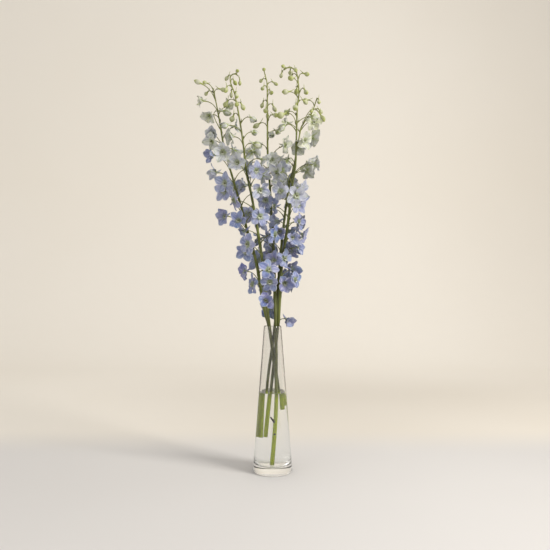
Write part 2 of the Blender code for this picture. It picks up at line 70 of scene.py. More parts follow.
class Value:
    """A node's output that can be used in sums; each operator adds its Math node."""

    def __init__(self, finish, socket):
        self.finish = finish
        self.socket = socket

    def maths(self, operation, *numbers):
        settings = {"operation": operation}
        return self.finish.node("ShaderNodeMath", settings, dict(enumerate(numbers)))

    def __add__(self, other):
        return self.maths("ADD", self, other)

    def __sub__(self, other):
        return self.maths("SUBTRACT", self, other)

    def __mul__(self, other):
        return self.maths("MULTIPLY", self, other)

    def __rsub__(self, other):
        return self.maths("SUBTRACT", other, self)

    __radd__ = __add__
    __rmul__ = __mul__

    def between(self, low, high):
        """0 below low, 1 above high, and smooth between them."""
        settings = {"interpolation_type": "SMOOTHSTEP"}
        return self.finish.node("ShaderNodeMapRange", settings,
                                {"Value": self, "From Min": low, "From Max": high})

    def sine(self):
        return self.maths("SINE", self)

    def size(self):
        return self.maths("ABSOLUTE", self)


class Finish:
    """A material, and the one method that adds its nodes."""

    def __init__(self, name, **sockets):
        self.material = bpy.data.materials.new(name)
        self.material.use_nodes = True
        self.tree = self.material.node_tree
        self.shader = self.tree.nodes["Principled BSDF"]
        self.output = self.tree.nodes["Material Output"]
        for socket, value in sockets.items():
            self.put(socket.replace("_", " "), value)

    def put(self, socket, value):
        self.join(self.shader.inputs[socket], value)

    def join(self, socket, value):
        if isinstance(value, Value):
            self.tree.links.new(value.socket, socket)
        else:
            socket.default_value = value

    def node(self, kind, settings, values, output=0):
        made = self.tree.nodes.new(kind)
        stops = settings.pop("stops", None)
        for name, value in settings.items():
            setattr(made, name, value)
        if stops:
            ramp = made.color_ramp
            while len(ramp.elements) < len(stops):
                ramp.elements.new(0.5)
            for element, (position, colour) in zip(ramp.elements, stops):
                element.position = position
                element.color = colour
        for name, value in values.items():
            self.join(made.inputs[name], value)
        return Value(self, made.outputs[output])

    def mix(self, share, first, second, blend="MIX"):
        """Two colours mixed by a share."""
        settings = {"data_type": "RGBA", "blend_type": blend}
        return self.node("ShaderNodeMix", settings, {"Factor": share, 6: first, 7: second}, 2)

    def parts(self, vector):
        """The three numbers of a colour or vector."""
        split = self.node("ShaderNodeSeparateXYZ", {}, {0: vector})
        return [Value(self, split.socket.node.outputs[i]) for i in range(3)]

    def tones(self):
        """The four numbers that the mesh holds at each point, under the name tone."""
        held = self.node("ShaderNodeAttribute", {"attribute_name": "tone"}, {})
        return [*self.parts(held), Value(self, held.socket.node.outputs["Alpha"])]

    def place(self, kind="Object"):
        """A point's place in the frame, or on the UV map."""
        return self.node("ShaderNodeTexCoord", {}, {}, kind)

    def noise(self, scale, detail=2.0, stretch=(1, 1, 1), where=None):
        where = where or self.place()
        where = self.node("ShaderNodeMapping", {}, {"Vector": where, "Scale": stretch})
        return self.node("ShaderNodeTexNoise", {}, {"Vector": where, "Scale": scale,
                                                    "Detail": detail})

    def bump(self, height, strength, distance):
        values = {"Height": height, "Strength": strength, "Distance": distance}
        self.put("Normal", self.node("ShaderNodeBump", {}, values))


def linear(red, green, blue):
    """A colour given in screen values from 0 to 255, as the linear one that a shader takes."""
    return (*(((c / 255 + 0.055) / 1.055)**2.4 for c in (red, green, blue)), 1.0)


def outer_radius(height):
    return VASE_FOOT_RADIUS + (VASE_RIM_RADIUS - VASE_FOOT_RADIUS) * height / VASE_HEIGHT


def inner_radius(height):
    return outer_radius(height) - VASE_WALL


def arc(centre, size, start, end):
    """Points (radius, height) on an arc between two angles in degrees."""
    angles = [math.radians(start + (end - start) * i / ARC_STEPS) for i in range(ARC_STEPS + 1)]
    return [(centre[0] + size * math.cos(a), centre[1] + size * math.sin(a)) for a in angles]


def turned(profile):
    """A solid of revolution from (radius, height) points that start and end on the axis."""
    bm = bmesh.new()
    verts = [bm.verts.new((radius, 0, height)) for radius, height in profile]
    edges = [bm.edges.new(pair) for pair in zip(verts, verts[1:])]
    bmesh.ops.spin(bm, geom=verts + edges, cent=(0, 0, 0), axis=(0, 0, 1), angle=math.tau,
                   steps=TURNED_SIDES, use_merge=True)
    bmesh.ops.remove_doubles(bm, verts=bm.verts, dist=MERGED_WITHIN)
    bmesh.ops.recalc_face_normals(bm, faces=bm.faces)
    return bm


def in_scene(name, data):
    """A new object of the scene that shows this data."""
    made = bpy.data.objects.new(name, data)
    bpy.context.scene.collection.objects.link(made)
    return made


def smooth_object(name, bm, finish):
    """An object of a bmesh in millimetres, with its material."""
    bmesh.ops.scale(bm, vec=(MM, MM, MM), verts=bm.verts)
    mesh = bpy.data.meshes.new(name)
    bm.to_mesh(mesh)
    bm.free()
    mesh.materials.append(finish.material)
    mesh.shade_smooth()
    return in_scene(name, mesh)


def new_piece(name, bm, finish, nodes):
    """A piece of the bouquet, with its edges kept sharp, riding on the vase."""
    piece = smooth_object(name, bm, finish)
    piece.data.set_sharp_from_angle(angle=SHARP_EDGE)
    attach(piece, "root")
    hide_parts(*nodes)


def vase_profile():
    lip = VASE_WALL / 2
    lip_height = VASE_HEIGHT - lip
    floor_top = VASE_FLOOR + FLOOR_ROUND
    foot = arc((outer_radius(0) - FOOT_ROUND, FOOT_ROUND), FOOT_ROUND, -90, 0)
    rim = arc((outer_radius(lip_height) - lip, lip_height), lip, 0, 180)
    bowl = arc((inner_radius(floor_top) - FLOOR_ROUND, floor_top), FLOOR_ROUND, 0, -90)
    return [(0, FOOT_HOLLOW), (FOOT_HOLLOW_REACH, FOOT_HOLLOW), *foot, *rim, *bowl, (0, VASE_FLOOR)]


clear_glass = Finish("clear glass", Base_Color=GLASS_TINT, Roughness=0.0, IOR=GLASS_IOR,
                     Transmission_Weight=1.0)
clear_glass.bump(clear_glass.noise(scale=14.0, stretch=(1, 1, 0.35)), strength=0.08, distance=0.002)
new_piece("bottle_vase", turned(vase_profile()), clear_glass, ["vase"])


# Water
# Tap water up to the middle of the vase. It wets the glass, so its edge climbs a little there, and
# it is drawn a hair into the wall, so that light goes straight from one to the other.

WATER_LEVEL = 158.0
WATER_LAP = 0.12
MENISCUS_HEIGHT = 0.15
MENISCUS_REACH = 1.5
MENISCUS_CURVE = 2.5
MENISCUS_STEPS = 6
WATER_IOR = 1.333
WATER_TINT = (0.99, 0.995, 0.99, 1.0)


def water_profile():
    floor_top = VASE_FLOOR + FLOOR_ROUND
    centre = (inner_radius(floor_top) - FLOOR_ROUND, floor_top)
    bowl = arc(centre, FLOOR_ROUND + WATER_LAP, -90, 0)
    edge = inner_radius(WATER_LEVEL) + WATER_LAP
    surface = []
    for i in range(MENISCUS_STEPS + 1):
        share = i / MENISCUS_STEPS
        surface.append((edge - MENISCUS_REACH * share,
                        WATER_LEVEL + MENISCUS_HEIGHT * ((1 - share)**MENISCUS_CURVE - 1)))
    return [(0, bowl[0][1]), *bowl, *surface, (0, surface[-1][1])]


water_finish = Finish("water", Base_Color=WATER_TINT, Roughness=0.0, IOR=WATER_IOR,
                      Transmission_Weight=1.0)
water_finish.bump(water_finish.noise(scale=9.0, detail=0.0), strength=0.03, distance=0.002)
new_piece("vase_water", turned(water_profile()), water_finish, ["water"])


# Where each flower sits
# The flowers grow round each stem by the golden angle, the lowest first, on stalks that bend over to
# hold each flower level. Each place is drawn by the same rule as in the model and found back there
# by the end of the flower's spur.

GOLDEN_ANGLE = math.radians(137.5)
AZIMUTH_PLAY = 0.35
TIP_MARGIN = 3.0
WALK_STEP = 2.0
STEP = {"open": 20.5, "half": 16.0, "bud": 10.0}
LIFT = {"open": (32, 46), "half": (30, 50), "bud": (14, 42)}
DROOP = {"open": (-12, 28), "half": (0, 40), "bud": (-10, 75)}
STALK_LENGTHS = {"open": (26, 18), "half": (34, 18), "bud": (60, 13)}
STALK_SWELL = {"open": 29, "half": 20, "bud": 0}
FLOWER_SIZES = {"open": (1.14, 0.94), "half": (1.1, 0.8), "bud": (2.9, 0.95)}
STALK_PLAY = (0.85, 1.15)
SIZE_PLAY = (0.92, 1.06)
GAP_PLAY = (0.85, 1.15)
OPENNESS = (0.8, 1.0)
ROLL_PLAY = 0.5
STALK_BEND = 0.6
SPUR_RISE = math.radians(28.0)
SPUR_LENGTHS = {"open": 14.0, "half": 11.2, "bud": 9.5}
TURNS = [math.radians(d) for d in (0, 15, -15, 30, -30, 45, -45, 60, -60, 75, -75, 90, -90)]
REACHES = (1.0, 0.84, 1.14, 0.7)
FOUND_WITHIN = 0.05

# Each stem runs from its cut end under water, through the neck of the vase, to its tip
SPIKES = {
    "left": {
        "route": [
            (14.5, 18.5, 126), (9.8, 14.6, 158), (3.8, 9.6, 201), (0.9, 7.1, 225), (-2.8, 4.4, 255),
            (-8.3, 1.0, 293), (-14, 0, 312), (-20, -0.5, 340), (-29.5, -2, 400), (-39, -4, 443),
            (-51, -6, 482), (-63, -8, 529), (-78, -10, 580), (-96, -13, 645), (-107, -16, 708),
            (-117, -18, 760),
        ],
        "foot_radius": 3.1, "first": 392, "open_to": 715, "half_to": 730, "turn": 300, "seed": 11,
        "crowding": 0.88, "tip_stalk": 1.8,
    },
    "front": {
        "route": [
            (13.5, 8, 121), (12, 2, 158), (6.1, -4.6, 201), (2.7, -6.5, 225), (-1.7, -7.6, 255),
            (-6.6, -8.8, 291), (-13, -12, 347), (-16, -13.5, 372), (-21.6, -17, 430),
            (-28.5, -20, 474), (-33.3, -22, 505), (-42.5, -26, 553), (-51.6, -30, 597),
            (-57, -33, 646), (-64, -37, 694), (-71, -39, 731), (-75, -40, 748), (-80, -42, 760),
            (-82, -43, 771), (-78, -43, 779), (-68, -43, 780),
        ],
        "foot_radius": 3.3, "first": 325, "open_to": 640, "half_to": 690, "turn": 250, "seed": 22,
        "crowding": 0.98, "tip_stalk": 1.2,
    },
    "centre": {
        "route": [
            (-1, -9, 15.7), (4, -11.5, 90), (6.8, -12.4, 158), (6.9, -12, 201), (6.9, -11.8, 225),
            (6.6, -9, 255), (6.1, -5, 291), (4.5, -0.5, 345), (2, 7, 440), (-5.8, 18, 574),
            (-8, 20.5, 604), (-10, 23, 635), (-10.8, 29, 709), (-11, 32, 750), (-11.5, 35, 785),
            (-14.5, 36, 800), (-18, 37, 813),
        ],
        "foot_radius": 3.4, "first": 318, "open_to": 630, "half_to": 680, "turn": 90, "seed": 33,
        "crowding": 1.0, "tip_stalk": 1.1,
    },
    "right": {
        "route": [
            (-10.5, 3, 68), (-7.5, 2, 110), (-3.6, 1, 158), (1.2, 0.5, 201), (3.8, 0.7, 225),
            (7.2, 1.1, 255), (11, 1.5, 291), (13.4, 0, 327), (15, -1, 355), (17.5, -4, 407),
            (21.5, -5, 435), (31.4, -8, 500), (38.7, -11, 567), (45, -13, 608), (47, -15, 658),
            (48, -17, 698), (49.3, -18, 728), (52, -19, 749), (50.8, -19.5, 770), (49.2, -20, 782),
            (47, -20, 791), (40.4, -21, 798), (32.5, -21, 801), (22, -21, 795),
        ],
        "foot_radius": 3.0, "first": 368, "open_to": 665, "half_to": 705, "turn": 300, "seed": 44,
        "crowding": 1.0, "tip_stalk": 1.2,
    },
    "back": {
        "route": [
            (-14, 25.4, 62), (-13.5, 19.5, 110), (-12.3, 16, 158), (-7.6, 14, 201),
            (-3.8, 13.1, 225), (0.6, 11.4, 255), (5, 9, 291), (10.9, 12, 362), (17, 17, 442),
            (25, 21, 514), (33.4, 25, 572), (41.8, 28, 607), (50, 31, 648), (57.4, 34, 691),
            (62.6, 35, 702), (70.4, 36, 714), (80, 37, 725), (86, 38, 740), (91.7, 39, 758),
        ],
        "foot_radius": 3.0, "first": 368, "open_to": 690, "half_to": 712, "turn": 70, "seed": 55,
        "crowding": 1.1, "tip_stalk": 1.3,
    },
}

# Flowers set one by one, in the outline and in front: the height at which the stalk leaves the stem,
# the flower's place, the way it faces (degrees round, then down) and its size
SET_FLOWERS = [
    ("right", "open", 300, (27, -3, 303), (-40, 25), 1.0),
    ("left", "open", 372, (-53, -8, 398), (-140, 10), 1.0),
    ("right", "open", 350, (44, -16, 382), (-35, 10), 0.95),
    ("back", "open", 415, (48, 4, 446), (-25, 10), 1.0),
    ("right", "open", 436, (38, -28, 465), (-60, 10), 0.95),
    ("right", "open", 465, (51, -13, 497), (-25, 10), 0.95),
    ("right", "open", 497, (49, -30, 528), (-60, 5), 0.95),
    ("right", "open", 530, (58, -18, 562), (-35, 5), 0.95),
    ("right", "open", 622, (62, -26, 655), (-55, 5), 1.0),
    ("right", "bud", 684, (24, -25, 708), (-170, 20), 1.7),
    ("centre", "open", 345, (-5, -32, 378), (-95, 10), 1.0),
    ("centre", "open", 508, (-14, -8, 540), (-100, 8), 1.0),
    ("right", "open", 520, (16, -34, 555), (-105, 5), 0.95),
    ("centre", "open", 592, (-1, 4, 622), (-80, 5), 0.9),
    ("front", "open", 563, (-32, -40, 594), (-60, 10), 1.0),
    ("front", "open", 583, (-68, -42, 612), (-125, 8), 1.0),
    ("front", "open", 630, (-79, -36, 660), (-150, 15), 0.95),
    ("front", "half", 622, (-37, -38, 646), (10, 15), 1.1),
    ("left", "open", 462, (-92, -14, 508), (-125, 5), 1.15),
    ("left", "open", 508, (-94, -18, 556), (-110, -8), 1.15),
    ("left", "open", 560, (-112, -8, 595), (-160, 8), 0.95),
    ("left", "open", 590, (-117, -18, 628), (-145, 0), 1.0),
    ("left", "open", 638, (-117, -28, 668), (-100, 12), 1.0),
    ("left", "open", 668, (-124, -24, 704), (-130, 30), 0.9),
    ("left", "half", 678, (-97, -18, 714), (5, 15), 1.0),
    ("left", "open", 690, (-138, -18, 735), (-165, 5), 0.75),
    ("left", "bud", 712, (-140, -18, 769), (180, -25), 1.4),
    ("left", "bud", 738, (-104, -20, 758), (0, 10), 1.2),
    ("back", "open", 588, (78, 22, 618), (-35, 10), 0.95),
    ("back", "open", 688, (84, 30, 706), (-65, 25), 0.95),
    ("back", "bud", 700, (99, 37, 722), (-20, 60), 1.5),
]
SET_OPENNESS = 0.9


def curve_through(points, span):
    """Points no more than span apart on a smooth curve that passes through the given ones."""
    points = [Vector(p) for p in points]
    ends = [2 * points[0] - points[1], *points, 2 * points[-1] - points[-2]]
    curve = []
    for p0, p1, p2, p3 in zip(ends, ends[1:], ends[2:], ends[3:]):
        steps = math.ceil((p2 - p1).length / span)
        for i in range(steps):
            t = i / steps
            curve.append(0.5 * (2 * p1 + (p2 - p0) * t + (2 * p0 - 5 * p1 + 4 * p2 - p3) * t**2
                                + (3 * p1 - p0 - 3 * p2 + p3) * t**3))
    return [*curve, points[-1]]


def walk(spike):
    """The stem as evenly spaced (point, direction) pairs from foot to tip."""
    path = curve_through(spike["route"], WALK_STEP)
    return list(zip(path, [(b - a).normalized() for a, b in zip(path, path[1:])]))


def step_at(name, height):
    """The first step of a stem above a height."""
    return next(step for step in walk(SPIKES[name]) if step[0].z > height)


def direction(azimuth, droop):
    """Round from +X towards +Y by one angle, and down by the other."""
    level = Vector((math.cos(azimuth), math.sin(azimuth), 0))
    return math.cos(droop) * level - math.sin(droop) * Vector((0, 0, 1))


def aimed(draw):
    """Work out the directions in which a flower leaves the stem and faces."""
    along = draw["along"]
    east = Vector((0, 1, 0)).cross(along).normalized()
    north = along.cross(east)
    outward = math.cos(draw["azimuth"]) * east + math.sin(draw["azimuth"]) * north
    leave = math.cos(draw["lift"]) * along + math.sin(draw["lift"]) * outward
    facing = direction(math.atan2(outward.y, outward.x), draw["droop"])
    return dict(draw, leave=leave, facing=facing)


def part_way(ends, share):
    start, end = ends
    return start + (end - start) * share


def arch(start, bend, end, t):
    """A point on the curve that leaves start towards bend and comes from there to end."""
    return start * (1 - t)**2 + bend * 2 * t * (1 - t) + end * t**2


def stalk_point(item, t):
    """A point on the flower's stalk, from the stem at 0 to the flower's back at 1."""
    elbow = item["point"] + item["leave"] * STALK_BEND * item["stalk"]
    end = elbow + item["facing"] * (1 - STALK_BEND) * item["stalk"]
    return arch(item["point"], elbow, end, t)


def flower_matrix(item):
    """Places a flower at the end of its stalk, facing along +Z of its own frame, spur uppermost."""
    facing = item["facing"]
    side = Vector((0, 0, 1)).cross(facing).normalized()
    upright = facing.cross(side)
    turned_side = side * math.cos(item["roll"]) + upright * math.sin(item["roll"])
    turned_up = facing.cross(turned_side)
    pose = Matrix((turned_side, turned_up, facing)).transposed().to_4x4()
    return Matrix.Translation(stalk_point(item, 1.0)) @ pose


def placed(flower, item):
    """A flower's mesh, moved from the flower's own frame to the end of the stalk."""
    bmesh.ops.transform(flower, matrix=flower_matrix(item), verts=flower.verts)
    return flower


def spur_tip(item):
    """The end of the spur, back and up from the hub."""
    length = SPUR_LENGTHS[item["kind"]] * item["size"]
    return Vector((0, math.sin(SPUR_RISE), -math.cos(SPUR_RISE))) * length


def wanted_flowers(name, spike):
    """The flowers of one spike from the lowest up, as draws to be looked for in the model."""
    rng = random.Random(spike["seed"])
    steps = walk(spike)
    first = next(i for i, (p, _) in enumerate(steps) if p.z > spike["first"])
    index = first
    azimuth = math.radians(spike["turn"])
    kind = "open"
    wanted = []
    while index < len(steps) - TIP_MARGIN / WALK_STEP:
        point, along = steps[index]
        if kind == "open" and point.z > spike["open_to"]:
            kind = "half"
        if kind == "half" and point.z > spike["half_to"]:
            kind = "bud"
        share = (index - first) / (len(steps) - first)
        reach = spike["tip_stalk"] if kind == "bud" else 1.0
        swell = STALK_SWELL[kind] * math.sin(math.pi * share)
        draw = {"spike": name, "point": point, "along": along, "kind": kind,
                "azimuth": azimuth + rng.uniform(-AZIMUTH_PLAY, AZIMUTH_PLAY), "share": share,
                "lift": math.radians(rng.uniform(*LIFT[kind])),
                "droop": math.radians(rng.uniform(*DROOP[kind])),
                "stalk": rng.uniform(*STALK_PLAY) * (part_way(STALK_LENGTHS[kind], share) + swell)
                         * reach,
                "size": rng.uniform(*SIZE_PLAY) * part_way(FLOWER_SIZES[kind], share),
                "openness": rng.uniform(*OPENNESS), "roll": rng.uniform(-ROLL_PLAY, ROLL_PLAY),
                "seed": rng.randrange(10**6)}
        wanted.append(draw)
        azimuth += GOLDEN_ANGLE
        gap = STEP[kind] * spike["crowding"] * rng.uniform(*GAP_PLAY)
        index += max(1, round(gap / WALK_STEP))
    return wanted


def set_flower(number, spike, kind, height, place, aim, size):
    """A flower set one by one: the stalk's length and first direction follow from where it ends."""
    point, along = step_at(spike, height)
    facing = direction(math.radians(aim[0]), math.radians(aim[1]))
    reach = Vector(place) - point
    rest = 1 - STALK_BEND
    a = STALK_BEND**2 - rest**2
    b = rest * reach.dot(facing)
    stalk = (math.sqrt(b * b + a * reach.length_squared) - b) / a
    leave = (reach - facing * rest * stalk) / (STALK_BEND * stalk)
    return {"spike": spike, "point": point, "along": along, "kind": kind, "leave": leave,
            "facing": facing, "stalk": stalk, "size": size, "openness": SET_OPENNESS,
            "roll": 0.0, "seed": number}


def corners_of(name):
    """The corners of a node in the frame, to be searched by place."""
    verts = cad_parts[name].data.vertices
    corners = KDTree(len(verts))
    for vert in verts:
        corners.insert(vert.co, vert.index)
    corners.balance()
    return corners


def is_there(item, corners):
    tip = flower_matrix(item) @ spur_tip(item)
    return corners.find(tip * MM)[2] < FOUND_WITHIN * MM


def found(draw, corners):
    """The draw as the model holds it, perhaps turned round the stem or on another stalk."""
    for reach in REACHES:
        for turn in TURNS:
            item = aimed(dict(draw, stalk=draw["stalk"] * reach, azimuth=draw["azimuth"] + turn))
            if is_there(item, corners):
                return item
    return None


flowers = {name: [] for name in SPIKES}
for name in SPIKES:
    corners = corners_of("spike_" + name)
    for number, values in enumerate(SET_FLOWERS):
        item = set_flower(number, *values)
        if values[0] == name and is_there(item, corners):
            flowers[name].append(item)
    for draw in wanted_flowers(name, SPIKES[name]):
        item = found(draw, corners)
        if item:
            flowers[name].append(item)


# Stems
# Green delphinium stems, ribbed and a little swollen where each flower stalk leaves. They are cut
# square at the foot, stand in the water and lean on each other in the neck of the vase.

STEM_SPAN = 5.0
STEM_SIDES = 16
STEM_RIBS = 8
STEM_RIB_DEPTH = 0.045
STEM_RIB_TWIST = 2.5
STEM_RADIUS_RIM = 3.0
STEM_RADIUS_TIP = 0.9
STEM_TAPER = 1.4
KNOT_SWELL = 0.22
KNOT_LENGTH = 3.5
STEM_WALL_GAP = 0.15
STEM_FULLER = 0.1
STUBS = [(97.0, (-0.6, -0.4, 0.95), 11.0), (76.0, (0.1, -1.0, 0.2), 1.8)]
STUB_START = 2.2
STUB_RADII = (2.5, 1.3)


def stem_radius(point, spike):
    """Thick under water, then thinner towards the tip."""
    tip_height = max(p[2] for p in spike["route"])
    if point.z < VASE_HEIGHT:
        share = point.z / VASE_HEIGHT
        return spike["foot_radius"] + (STEM_RADIUS_RIM - spike["foot_radius"]) * share
    share = min((point.z - VASE_HEIGHT) / (tip_height - VASE_HEIGHT), 1.0)
    fuller = STEM_FULLER * math.sin(math.pi * share**0.7)
    return STEM_RADIUS_RIM + (STEM_RADIUS_TIP - STEM_RADIUS_RIM) * share**STEM_TAPER + fuller


def rod(sides, steps):
    """A straight closed rod of radius 1 from height 0 to 1, to be bent along a path."""
    bm = bmesh.new()
    bm.loops.layers.uv.new("UVMap")
    bm.verts.layers.float_color.new("tone")
    bmesh.ops.create_circle(bm, cap_ends=True, radius=1.0, segments=sides)
    foot = bm.faces[:]
    for face in foot:
        face.normal_flip()
    ends = bmesh.ops.extrude_face_region(bm, geom=foot, use_keep_orig=True)["geom"]
    top = [e for e in ends if isinstance(e, bmesh.types.BMVert)]
    bmesh.ops.translate(bm, vec=(0, 0, 1), verts=top)
    sides_up = [e for e in bm.edges if abs(e.verts[0].co.z - e.verts[1].co.z) > 0.5]
    bmesh.ops.subdivide_edges(bm, edges=sides_up, cuts=steps - 1, use_grid_fill=False)
    # Heights in whole steps, so that rounding is the same in every run
    for vert in bm.verts:
        vert.co.z = round(vert.co.z * steps) / steps
    bmesh.ops.recalc_face_normals(bm, faces=bm.faces)
    return bm


def bent(straight, path, width, tone, side=Vector((0, 1, 0))):
    """A copy of a rod, bent along path(t) with width(t, angle) as its radius."""
    bm = straight.copy()
    tones = bm.verts.layers.float_color["tone"]
    uvs = bm.loops.layers.uv["UVMap"]
    for face in bm.faces:
        for loop in face.loops:
            angle = math.atan2(loop.vert.co.y, loop.vert.co.x)
            loop[uvs].uv = (loop.vert.co.z, angle / math.tau + 0.5)
    for vert in bm.verts:
        t = vert.co.z
        angle = math.atan2(vert.co.y, vert.co.x)
        along = path(min(t + 0.01, 1.0)) - path(max(t - 0.01, 0.0))
        across = side.cross(along).normalized()
        other = along.normalized().cross(across)
        radius = width(t, angle)
        vert.co = path(t) + (across * math.cos(angle) + other * math.sin(angle)) * radius
        vert[tones] = tone(t)
    return bm


def add(whole, part):
    """Put one mesh into another, and free it."""
    mesh = bpy.data.meshes.new("part")
    part.to_mesh(mesh)
    part.free()
    whole.from_mesh(mesh)
    bpy.data.meshes.remove(mesh)


def inside_vase(point, radius):
    """Keep a stem off the glass: the point moved towards the axis if it would touch."""
    if point.z > VASE_HEIGHT:
        return point
    room = inner_radius(point.z) - STEM_WALL_GAP - radius
    away = math.hypot(point.x, point.y)
    if away <= room:
        return point
    return Vector((point.x * room / away, point.y * room / away, point.z))


def stem_mesh(name, items):
    spike = SPIKES[name]
    path = curve_through(spike["route"], STEM_SPAN)
    path = [inside_vase(p, stem_radius(p, spike) * (1 + STEM_RIB_DEPTH)) for p in path]
    steps = len(path) - 1
    knots = [item["point"].z for item in items]

    def centre(t):
        place = t * steps
        i = min(int(place), steps - 1)
        return path[i].lerp(path[i + 1], place - i)

    def width(t, angle):
        point = centre(t)
        ribs = 1 + STEM_RIB_DEPTH * math.cos(STEM_RIBS * angle + STEM_RIB_TWIST * t)
        near = max((math.exp(-((point.z - k) / KNOT_LENGTH)**2) for k in knots), default=0.0)
        return stem_radius(point, spike) * ribs * (1 + KNOT_SWELL * near)

    return bent(rod(STEM_SIDES, steps), centre, width, lambda t: (0.0, t, 0.5, 0.0))


def stub_mesh(height, out, length):
    """What is left of a leaf stalk on the middle stem under water, dry and dark."""
    point, _ = step_at("centre", height)
    out = Vector(out)
    foot = point + out * STUB_START
    end = foot + out * length
    return bent(rod(sides=6, steps=3), lambda t: foot.lerp(end, t),
                lambda t, angle: part_way(STUB_RADII, t), lambda t: (0.0, t, 0.5, 1.0))


# Stalks and bracts
# Each flower hangs on a thin green stalk with a narrow bract at its foot and two tiny ones further
# up. The stalk thickens where it carries the flower.

STALK_RADIUS = 0.75
STALK_FOOT = 0.7
STALK_HEAD = 0.9
BRACT_LENGTH = 10.5
BRACT_WIDTH = 1.8
BRACT_LEAN = 0.75
BRACTLET_LENGTH = 5.0
BRACTLET_WIDTH = 0.9
BRACTLET_LEAN = 0.9
BRACTLET_PLACES = (0.62, 0.72)
SHORT_STALK = 25.0
LEAF_THICKNESS = 0.35
LEAF_FOLD = 0.35
LEAF_BEND = 0.2

stalk_rod = rod(sides=6, steps=9)


def grid(long_steps, wide_steps):
    """A flat sheet from -1 to 1 both ways, with its UV map, to be shaped into a petal or leaf."""
    bm = bmesh.new()
    bm.loops.layers.uv.new("UVMap")
    bm.verts.layers.float_color.new("tone")
    bmesh.ops.create_grid(bm, x_segments=long_steps, y_segments=wide_steps, size=1.0,
                          calc_uvs=True)
    return bm


def shaped(sheet, place, tone, thickness):
    """A copy of a sheet with its points at place(t, s): t along it, s from -1 to 1 across.

    Its back gets 1 as the last number of its tone.
    """
    bm = sheet.copy()
    tones = bm.verts.layers.float_color["tone"]
    for vert in bm.verts:
        vert[tones] = tone
        vert.co = place((vert.co.x + 1) / 2, vert.co.y)
    front = bm.verts[:]
    bm.normal_update()
    bmesh.ops.solidify(bm, geom=bm.faces[:], thickness=thickness)
    for vert in set(bm.verts) - set(front):
        vert[tones] = (*tone[:3], 1.0)
    bmesh.ops.recalc_face_normals(bm, faces=bm.faces)
    return bm


leaf_sheet = grid(long_steps=6, wide_steps=2)


def leaf_mesh(root, out, face, length, width, tone):
    """A narrow pointed leaf, folded along its middle and bent outwards."""
    side = face.cross(out).normalized()

    def place(t, s):
        half = width * (0.35 + 1.1 * t - 1.4 * t**3) * (1 if t < 1 else 0.1)
        rise = LEAF_FOLD * abs(s) * half - LEAF_BEND * length * t**2
        return root + out * length * t + side * half * s + face * rise

    return shaped(leaf_sheet, place, tone, LEAF_THICKNESS)


def stalk_mesh(item):
    def width(t, angle):
        return STALK_RADIUS + (STALK_FOOT * (1 - t)**6 + STALK_HEAD * t**8)

    side = item["leave"].cross(item["facing"])
    shade = random.Random(item["seed"] + 3).random()
    return bent(stalk_rod, lambda t: stalk_point(item, t), width, lambda t: (0.5, t, shade, 0),
                side)


def bracts(item):
    """The bract under a stalk and the two bractlets on it."""
    rng = random.Random(item["seed"] + 4)
    outward = (item["leave"] - item["along"] * item["leave"].dot(item["along"])).normalized()
    out = (outward * BRACT_LEAN + item["along"]).normalized()
    face = (outward - out * outward.dot(out)).normalized() * -1
    small = min(1.0, item["stalk"] / SHORT_STALK)
    made = [leaf_mesh(item["point"], out, -face, BRACT_LENGTH * small, BRACT_WIDTH * small,
                      (1.0, 0.5, rng.random(), 0.0))]
    for sign in (-1, 1):
        t = rng.uniform(*BRACTLET_PLACES)
        foot = stalk_point(item, t)
        along = (stalk_point(item, t + 0.02) - foot).normalized()
        side = along.cross(item["along"]).normalized() * sign
        out = (along + side * BRACTLET_LEAN).normalized()
        made.append(leaf_mesh(foot, out, along.cross(out).normalized(), BRACTLET_LENGTH * small,
                              BRACTLET_WIDTH * small, (1.0, 0.5, rng.random(), 0.0)))
    return made


STEM_GREEN = linear(116, 124, 60)
STEM_DARK = linear(78, 84, 40)
# Painted light: under the water the stems are painted much lighter, for the light that comes in
# through the glass and water
STEM_PAINTED_LIGHT_UNDER_WATER = linear(188, 206, 24)
STEM_PALE = linear(176, 186, 104)
STEM_TIP = linear(146, 150, 82)
STALK_OLIVE = linear(126, 130, 70)
NECK_OLIVE = linear(70, 72, 8)
DRY_BROWN = linear(24, 16, 10)

# A green part's tone: 0 for a stem, 0.5 for a stalk or 1 for a leaf, the place along it, its shade,
# and 1 at the end if it is dry
greenery = Finish("green stems", Roughness=0.5, IOR=1.4, Sheen_Weight=0.2, Sheen_Roughness=0.4)
kind, along, shade, dry = greenery.tones()
height = greenery.parts(greenery.place())[2]
streaks = greenery.noise(scale=60.0, detail=3.0, stretch=(1, 1, 0.05))
blotches = greenery.noise(scale=45.0, detail=3.0)
colour = greenery.mix(streaks.between(0.35, 0.7), STEM_DARK, STEM_GREEN)
neck = height.between(0.17, 0.21) * (1 - height.between(0.27, 0.34))
colour = greenery.mix(neck * (0.5 + blotches.between(0.3, 0.6) * 0.4), colour, NECK_OLIVE)
colour = greenery.mix(height.between(0.58, 0.8) * 0.7, colour, STEM_TIP)
# Painted light on the stems under the water
colour = greenery.mix((1 - height.between(0.14, 0.165)) * 0.88, colour, STEM_PAINTED_LIGHT_UNDER_WATER)
colour = greenery.mix(blotches.between(0.55, 0.8) * 0.3, colour, STEM_PALE)
stalk = kind.between(0.2, 0.5) * (1 - kind.between(0.5, 0.9))
colour = greenery.mix(stalk * (0.4 + shade * 0.5), colour, STALK_OLIVE)
colour = greenery.mix(stalk * along.between(0.8, 1.0) * 0.6, colour, STEM_PALE)
greenery.put("Base Color", greenery.mix(dry, colour, DRY_BROWN))
greenery.bump(streaks, strength=0.35, distance=0.0006)


# Open flowers
# Five broad, thin, wavy sepals overlap like a pinwheel round the eye; the uppermost runs back into
# a long spur. The colour goes from greenish white near the tip of the spike to periwinkle below.

